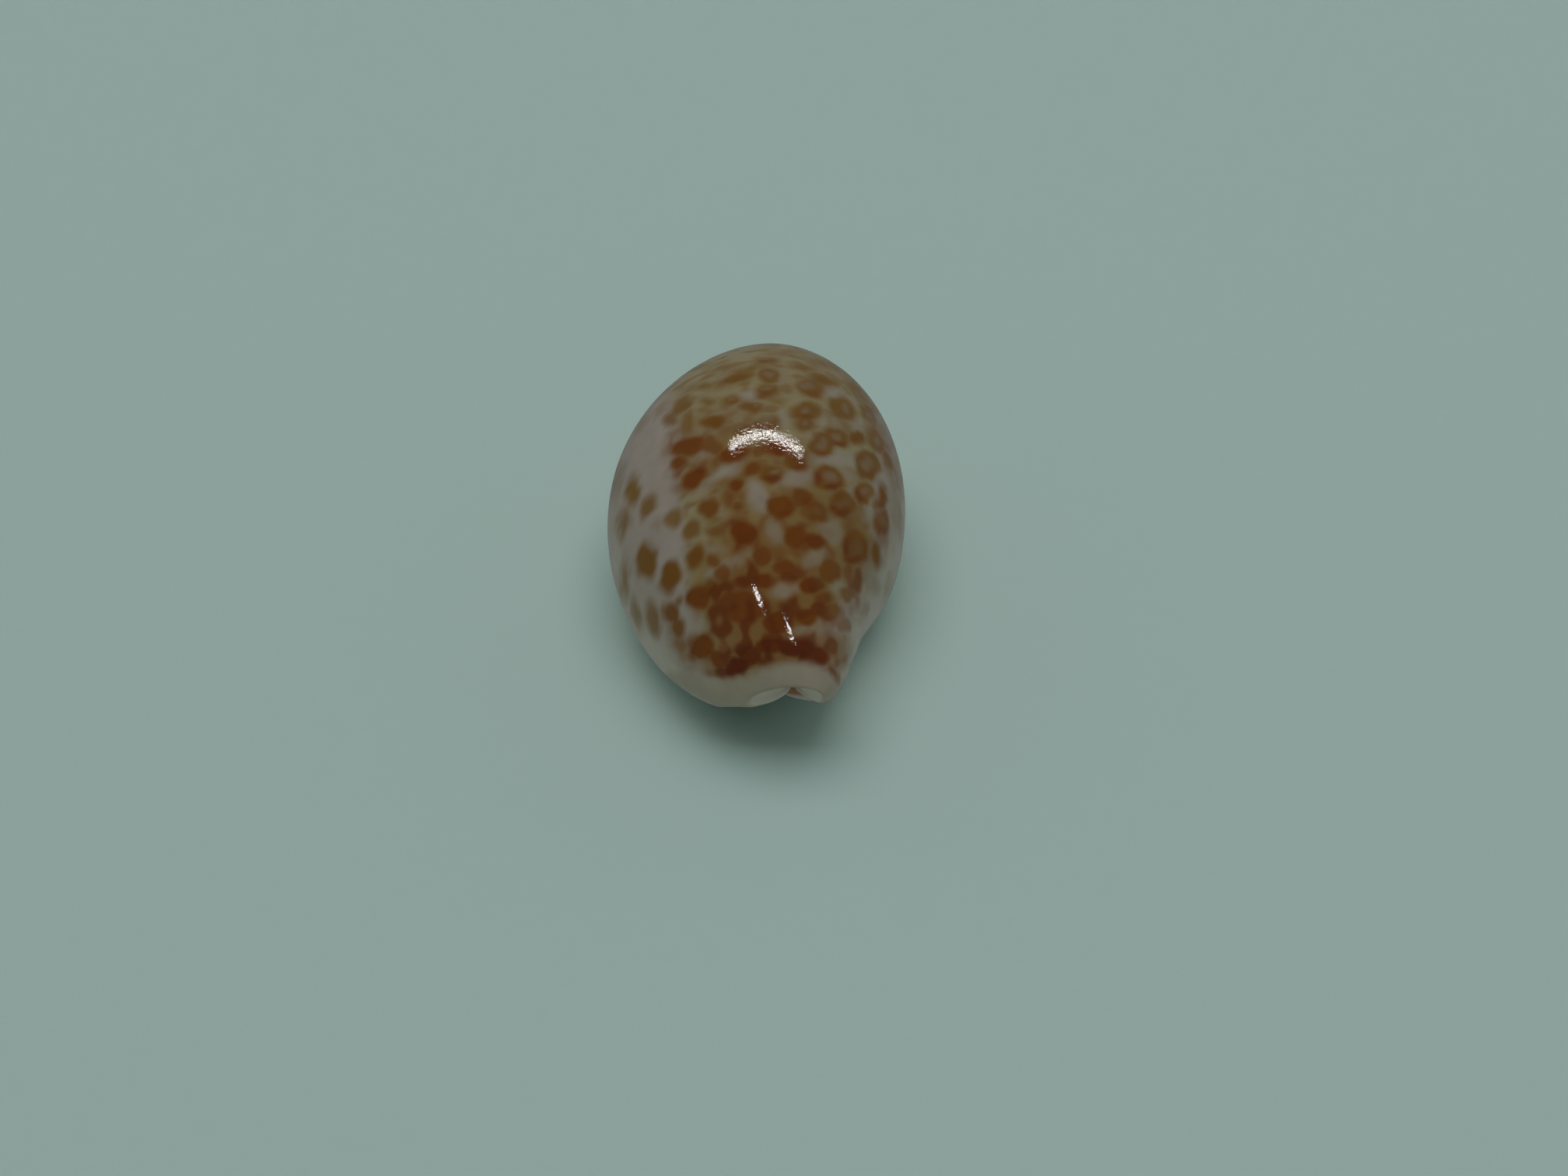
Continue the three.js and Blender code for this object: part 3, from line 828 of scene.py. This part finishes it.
def paint(pattern, angle, depth, t):
    """All covers by name, from each point's angle round the shell, depth in the lips and t."""
    points = pattern.points
    names = ("wash", "brown", "deep", "eye", "pale", "glaze")
    covers = {name: np.zeros(len(points)) for name in names}

    def add(name, cover):
        covers[name] = np.maximum(covers[name], cover)

    growth = smoothstep(ripple(points, *UNEVEN_WAVES), UNEVEN.start, UNEVEN.full)
    uneven = lerp(UNEVEN.least, 1, growth)
    for *ellipse, strength in PALE_PATCHES:
        add("pale", pattern.in_photo(*ellipse, edge=PALE_EDGE) * strength)
    for *ellipse, strength in WASHES:
        add("wash", pattern.in_photo(*ellipse, edge=WASH_EDGE) * strength)
    for *ellipse, strength, depth_of_brown in BLOTCHES:
        cover = pattern.in_photo(*ellipse, edge=BLOTCH_EDGE)
        cover = cover * (1 - BLOTCH_LEAVES_PALE * covers["pale"]) * uneven
        add("brown", cover * strength)
        add("deep", cover * depth_of_brown)
    for *ellipse, strength, depth_of_brown in SOLID_SPOTS:
        cover = pattern.in_photo(*ellipse)
        add("brown", cover * strength)
        add("deep", cover * depth_of_brown)
    for outer, eye in EYED_SPOTS:
        cover = pattern.in_photo(*outer)
        add("brown", cover * RING.strength)
        add("deep", cover * RING.depth)
        x, y, length, width, tilt = eye
        size = (length * EYE_GROWTH, width * EYE_GROWTH)
        edge = min(EYE_EDGE, EYE_EDGE_SHARE * width)
        strength = lerp(*EYE_STRENGTH, smoothstep(y, *EYE_FADE))
        add("eye", pattern.in_photo(x, y, *size, tilt, edge=edge) * strength)
    for *ellipse, strength in DEEPER:
        add("deep", pattern.in_photo(*ellipse) * strength)
    for *ellipse, strength in FRONT_GLAZE:
        add("glaze", pattern.in_photo(*ellipse, edge=GLAZE_EDGE) * strength)

    rise = np.sin(angle)
    offset = (points[:, :2] - DENSE_CENTRE) / DENSE_HALF
    wider = DENSE_SPREADS * np.maximum(0, points[:, 1]) / DENSE_HALF[0]
    offset[:, 0] /= np.where(offset[:, 0] < 0, 1 + wider, 1)
    oval = np.hypot(*offset.T) + DENSE_EDGE.uneven * ripple(points, *DENSE_WAVES)
    within = 1 - smoothstep(oval, DENSE_EDGE.start, DENSE_EDGE.end)
    dense = within * smoothstep(rise, *DENSE_FROM)
    hidden_spots(pattern, rise, dense, t, add)
    covers["tan"] = dense * (TAN.strength + TAN.uneven * ripple(points, *TAN_WAVES))
    patches = smoothstep(ripple(points, *MOTTLE_WAVES), MOTTLE.start, MOTTLE.full) * dense
    patches *= (1 - MOTTLE_LEAVES_PALE * covers["pale"]) * (1 - covers["glaze"])
    add("brown", patches * MOTTLE.strength)
    add("deep", patches * MOTTLE.depth)
    waves = ripple(points, *MARGIN_WAVES)
    # The margin's cover is painted light bounced up from the floor onto the lower flanks; the base's
    # cover is the white underside.
    for name, limit in (("margin", MARGIN_BOUNCE_LIGHT_TO), ("base", BASE_TO)):
        covers[name] = 1 - smoothstep(rise + limit.uneven * waves, limit.full, limit.none)
    add("glaze", smoothstep(-t, *FRONT_WHITE) * (covers["brown"] < ANY_BROWN))
    covers["deep"] = covers["deep"] * lerp(LEAST_RED, 1, smoothstep(-points[:, 1], *REDDENS))
    inner = 1 - smoothstep(np.abs(t), *THROAT_FADE)
    covers["throat"] = smoothstep(depth, *THROAT_DEPTH) * inner
    return covers


def hidden_spots(pattern, rise, dense, t, add):
    """Fills what the photo hides of the back with spots like those that it shows."""
    random = np.random.default_rng(HIDDEN_SEED)
    on_back = (rise > HIDDEN_FROM) & (np.abs(t) < HIDDEN_TO)
    unseen = np.flatnonzero((pattern.facing < HIDDEN_BELOW) & on_back)
    taken = np.array(pattern.anchors)
    for i in random.permutation(unseen):
        centre = pattern.points[i]
        is_dense = dense[i] > HIDDEN_IS_DENSE
        kind = HIDDEN_DENSE if is_dense else HIDDEN_SPARSE
        if np.linalg.norm(taken - centre, axis=1).min() < kind.apart:
            continue
        taken = np.vstack([taken, centre])
        radius = lerp(*HIDDEN_RADIUS, random.uniform() ** HIDDEN_SMALLER)
        stretch = random.normal(size=3)
        stretch -= (stretch @ pattern.normals[i]) * pattern.normals[i]
        stretch /= np.linalg.norm(stretch)
        cover = pattern.on_shell(centre, radius, stretch)
        eyed = is_dense and random.uniform() < HIDDEN_EYE.chance
        add("brown", cover * kind.strength)
        add("deep", cover * random.uniform(*HIDDEN_DEPTH) * is_dense)
        if eyed:
            eye = pattern.on_shell(centre, radius * HIDDEN_EYE.size, stretch, edge=HIDDEN_EYE.edge)
            add("eye", eye * HIDDEN_EYE.strength)


# The ground's colour and, from the lowest to the topmost, the colour that each cover lays over it,
# as linear albedo. The brown cover's colour is a ramp instead, along which the cover deep goes from
# an ordinary to the deepest brown.
GROUND = (0.46, 0.36, 0.31)
BROWNS = [(0.255, 0.125, 0.018), (0.23, 0.055, 0.003), (0.15, 0.025, 0.003)]
LAYERS = {
    # The margin's paler colour is painted light bounced up from the floor onto the lower flanks.
    "margin": (0.6, 0.5, 0.42),
    "tan": (0.4, 0.32, 0.17),
    "wash": (0.34, 0.205, 0.07),
    "pale": (0.43, 0.345, 0.28),
    "brown": None,
    "eye": (0.31, 0.2, 0.12),
    "base": (0.68, 0.55, 0.46),
    "glaze": (0.47, 0.375, 0.285),
    "throat": (0.48, 0.19, 0.07),
}
# The fine unevenness of the colour and the roughness, and the finer one of the polished surface.
# The scales are noise scales in an object measured in metres, and the depth is in metres.
GRAIN_SCALE = 900
GRAIN_DETAIL = 3.0
GRAIN_RANGE = (0.3, 0.7)
GRAIN_SHADES = (0.94, 1.04)
GRAIN_ROUGHNESS = (0.22, 0.34)
POLISH_SCALE = 5200
POLISH_DEPTH = 0.0000065

# The colour sockets of a mix node, by number because its other sockets have the same names.
MIX_BELOW = 6
MIX_ABOVE = 7
MIX_RESULT = 2


class Nodes:
    """Adds nodes to a material, each linked to what feeds it."""

    def __init__(self, material):
        self.tree = material.node_tree

    def add(self, kind, **settings):
        node = self.tree.nodes.new(kind)
        for name, value in settings.items():
            setattr(node, name, value)
        return node

    def link(self, source, target):
        self.tree.links.new(source, target)

    def cover(self, name):
        return self.add("ShaderNodeAttribute", attribute_name=name).outputs["Fac"]

    def mix(self, share, below, above):
        """below where share is 0, above where it is 1; either may be a plain colour."""
        node = self.add("ShaderNodeMix", data_type="RGBA")
        self.link(share, node.inputs["Factor"])
        for number, value in ((MIX_BELOW, below), (MIX_ABOVE, above)):
            if isinstance(value, tuple):
                node.inputs[number].default_value = (*value, 1)
            else:
                self.link(value, node.inputs[number])
        return node.outputs[MIX_RESULT]

    def noise(self, scale, detail=2.0):
        coordinates = self.add("ShaderNodeTexCoord")
        node = self.add("ShaderNodeTexNoise")
        node.inputs["Scale"].default_value = scale
        node.inputs["Detail"].default_value = detail
        self.link(coordinates.outputs["Object"], node.inputs["Vector"])
        return node.outputs["Fac"]

    def spread(self, value, from_low, from_high, to_low, to_high):
        """value, with the range between the first two numbers spread over that of the last two."""
        node = self.add("ShaderNodeMapRange", clamp=True)
        self.link(value, node.inputs["Value"])
        for name, number in (
            ("From Min", from_low), ("From Max", from_high), ("To Min", to_low), ("To Max", to_high)
        ):
            node.inputs[name].default_value = number
        return node.outputs["Result"]


def porcelain():
    """Glossy, slightly translucent shell, coloured by the covers."""
    material = bpy.data.materials.new("cowrie_porcelain")
    material.use_nodes = True
    nodes = Nodes(material)
    shader = next(n for n in material.node_tree.nodes if n.type == "BSDF_PRINCIPLED")

    brown = nodes.add("ShaderNodeValToRGB")
    ramp = brown.color_ramp.elements
    ordinary, deep, deepest = BROWNS
    ramp[0].color = (*ordinary, 1)
    ramp[1].color = (*deepest, 1)
    ramp.new(0.5).color = (*deep, 1)
    nodes.link(nodes.cover("deep"), brown.inputs["Fac"])

    colour = GROUND
    for name, layer in LAYERS.items():
        colour = nodes.mix(nodes.cover(name), colour, layer or brown.outputs["Color"])
    grain = nodes.add("ShaderNodeMix", data_type="RGBA", blend_type="MULTIPLY")
    grain.inputs["Factor"].default_value = 1
    shade = nodes.spread(nodes.noise(GRAIN_SCALE, GRAIN_DETAIL), *GRAIN_RANGE, *GRAIN_SHADES)
    nodes.link(colour, grain.inputs[MIX_BELOW])
    nodes.link(shade, grain.inputs[MIX_ABOVE])
    nodes.link(grain.outputs[MIX_RESULT], shader.inputs["Base Color"])

    roughness = nodes.spread(nodes.noise(GRAIN_SCALE), *GRAIN_RANGE, *GRAIN_ROUGHNESS)
    nodes.link(roughness, shader.inputs["Roughness"])
    bump = nodes.add("ShaderNodeBump")
    bump.inputs["Strength"].default_value = 1.0
    bump.inputs["Distance"].default_value = POLISH_DEPTH
    nodes.link(nodes.noise(POLISH_SCALE, GRAIN_DETAIL), bump.inputs["Height"])
    nodes.link(bump.outputs["Normal"], shader.inputs["Normal"])
    nodes.link(bump.outputs["Normal"], shader.inputs["Coat Normal"])

    shader.inputs["IOR"].default_value = 1.53
    shader.inputs["Specular IOR Level"].default_value = 0
    shader.inputs["Subsurface Weight"].default_value = 0.06
    shader.inputs["Subsurface Radius"].default_value = (1.0, 0.6, 0.35)
    shader.inputs["Subsurface Scale"].default_value = 0.0002
    shader.inputs["Coat Weight"].default_value = 0.8
    shader.inputs["Coat Roughness"].default_value = 0.035
    shader.inputs["Coat IOR"].default_value = 1.5
    return material


def make_shell():
    """The shell's object, with every cover as an attribute of its points."""
    grid = shell_grid()
    mesh, placed = shell_mesh(grid)
    normals = np.zeros(len(mesh.vertices) * 3, np.float32)
    mesh.vertex_normals.foreach_get("vector", normals)
    outside_count = grid.outside.shape[0] * grid.outside.shape[1]
    columns = np.ones((1, grid.outside.shape[1]))
    upper = ((grid.depth == 0) & (np.sin(grid.angle) > UPPER_FROM)).ravel()
    outside_normals = normals.reshape(-1, 3)[:outside_count].astype(float)
    pattern = Pattern(placed[:outside_count] / MM, outside_normals, upper)
    covers = paint(pattern, grid.angle.ravel(), grid.depth.ravel(), (grid.t * columns).ravel())
    within = np.abs(placed[outside_count:, 1]) / MM / (LENGTH / 2)
    inside_covers = {"base": 1.0, "throat": 1 - smoothstep(within, *THROAT_FADE)}
    for name, cover in covers.items():
        values = np.zeros(len(mesh.vertices), np.float32)
        values[:outside_count] = np.clip(cover, 0, 1)
        values[outside_count:] = inside_covers.get(name, 0.0)
        layer = mesh.attributes.new(name, "FLOAT", "POINT")
        layer.data.foreach_set("value", values)
    shell = bpy.data.objects.new("cowrie_shell", mesh)
    bpy.context.scene.collection.objects.link(shell)
    mesh.materials.append(porcelain())
    return shell


# The stage: a pale dish, flat in the middle, whose rim rises out of sight. Its sizes are in metres.
FLOOR_FLAT = 0.4
FLOOR_BEND = 0.35
FLOOR_WALL = 0.25
FLOOR_CENTRE = 0.1
FLOOR_SIDES = 96
FLOOR_BEND_STEPS = 12
FLOOR_COLOUR = (0.63, 0.785, 0.745)


def make_floor():
    """The dish, as rings of points round its middle one."""
    profile = [(0.0, 0.0), (FLOOR_CENTRE, 0.0), (FLOOR_FLAT, 0.0)]
    for step in range(1, FLOOR_BEND_STEPS + 1):
        turn = math.pi / 2 * step / FLOOR_BEND_STEPS
        profile.append((FLOOR_FLAT + FLOOR_BEND * math.sin(turn), FLOOR_BEND * (1 - math.cos(turn))))
    profile.append((FLOOR_FLAT + FLOOR_BEND, FLOOR_BEND + FLOOR_WALL))
    turns = [2 * math.pi * i / FLOOR_SIDES for i in range(FLOOR_SIDES)]
    points = [(0, 0, 0)]
    points += [(r * math.cos(a), r * math.sin(a), z) for r, z in profile[1:] for a in turns]
    faces = [(0, 1 + i, 1 + (i + 1) % FLOOR_SIDES) for i in range(FLOOR_SIDES)]
    for ring_number in range(len(profile) - 2):
        near = 1 + ring_number * FLOOR_SIDES
        far = near + FLOOR_SIDES
        for i in range(FLOOR_SIDES):
            following = (i + 1) % FLOOR_SIDES
            faces.append((near + i, far + i, far + following, near + following))
    mesh = bpy.data.meshes.new("floor")
    mesh.from_pydata(points, [], faces)
    mesh.shade_smooth()
    material = bpy.data.materials.new("pale_floor")
    material.use_nodes = True
    shader = next(n for n in material.node_tree.nodes if n.type == "BSDF_PRINCIPLED")
    shader.inputs["Base Color"].default_value = (*FLOOR_COLOUR, 1)
    shader.inputs["Roughness"].default_value = 0.6
    shader.inputs["Specular IOR Level"].default_value = 0.2
    mesh.materials.append(material)
    floor = bpy.data.objects.new("floor", mesh)
    bpy.context.scene.collection.objects.link(floor)
    floor.visible_glossy = False
    return floor


# Soft lights, placed where the photo's highlights on the shell say that its lights were: x, y and z
# of the middle, length and width, in metres, turn about the vertical in degrees, and radiance.
LIGHTS = {
    "strip": (0.072, 0.37, 0.62, 0.66, 0.018, 9, 44),
    "left_box": (-0.15, -0.231, 0.61, 0.055, 0.03, 33, 40),
    "right_box": (0.158, -0.211, 0.61, 0.05, 0.026, -35, 44),
}
# The large soft light overhead, which doesn't show in the gloss.
FILL = (-0.04, 0.12, 0.8, 0.9, 0.7, 0, 1.11)
WORLD_COLOUR = (0.93, 1.0, 0.98)
WORLD_STRENGTH = 0.14


def make_light(name, x, y, z, length, width, turn, radiance):
    """A rectangular light that shines straight down."""
    data = bpy.data.lights.new(name, "AREA")
    data.shape = "RECTANGLE"
    data.size = length
    data.size_y = width
    data.energy = radiance * math.pi * length * width
    light = bpy.data.objects.new(name, data)
    light.location = (x, y, z)
    light.rotation_euler = (0, 0, math.radians(turn))
    bpy.context.scene.collection.objects.link(light)
    return light


def make_lights():
    """The lights that only make highlights, the fill that makes none, and the room's own light."""
    for name, places in LIGHTS.items():
        make_light(name, *places).visible_diffuse = False
    fill = make_light("fill", *FILL)
    fill.visible_glossy = False
    world = bpy.data.worlds.new("soft_room")
    world.use_nodes = True
    background = world.node_tree.nodes["Background"]
    background.inputs["Color"].default_value = (*WORLD_COLOUR, 1)
    background.inputs["Strength"].default_value = WORLD_STRENGTH
    bpy.context.scene.world = world


def make_camera():
    """The camera, where the photo was taken from."""
    data = bpy.data.cameras.new("camera")
    data.lens = LENS
    data.sensor_width = SENSOR
    data.clip_start = 0.005
    data.clip_end = 10
    camera = bpy.data.objects.new("camera", data)
    camera.location = Vector(CAMERA_AT * MM)
    camera.rotation_mode = "QUATERNION"
    camera.rotation_quaternion = Vector(-TO_CAMERA).to_track_quat("-Z", "Y")
    bpy.context.scene.collection.objects.link(camera)
    bpy.context.scene.camera = camera


make_camera()
shell = make_shell()
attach(shell, "root")
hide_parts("shell")
floor = make_floor()
make_lights()
bpy.context.scene.view_settings.view_transform = "Standard"
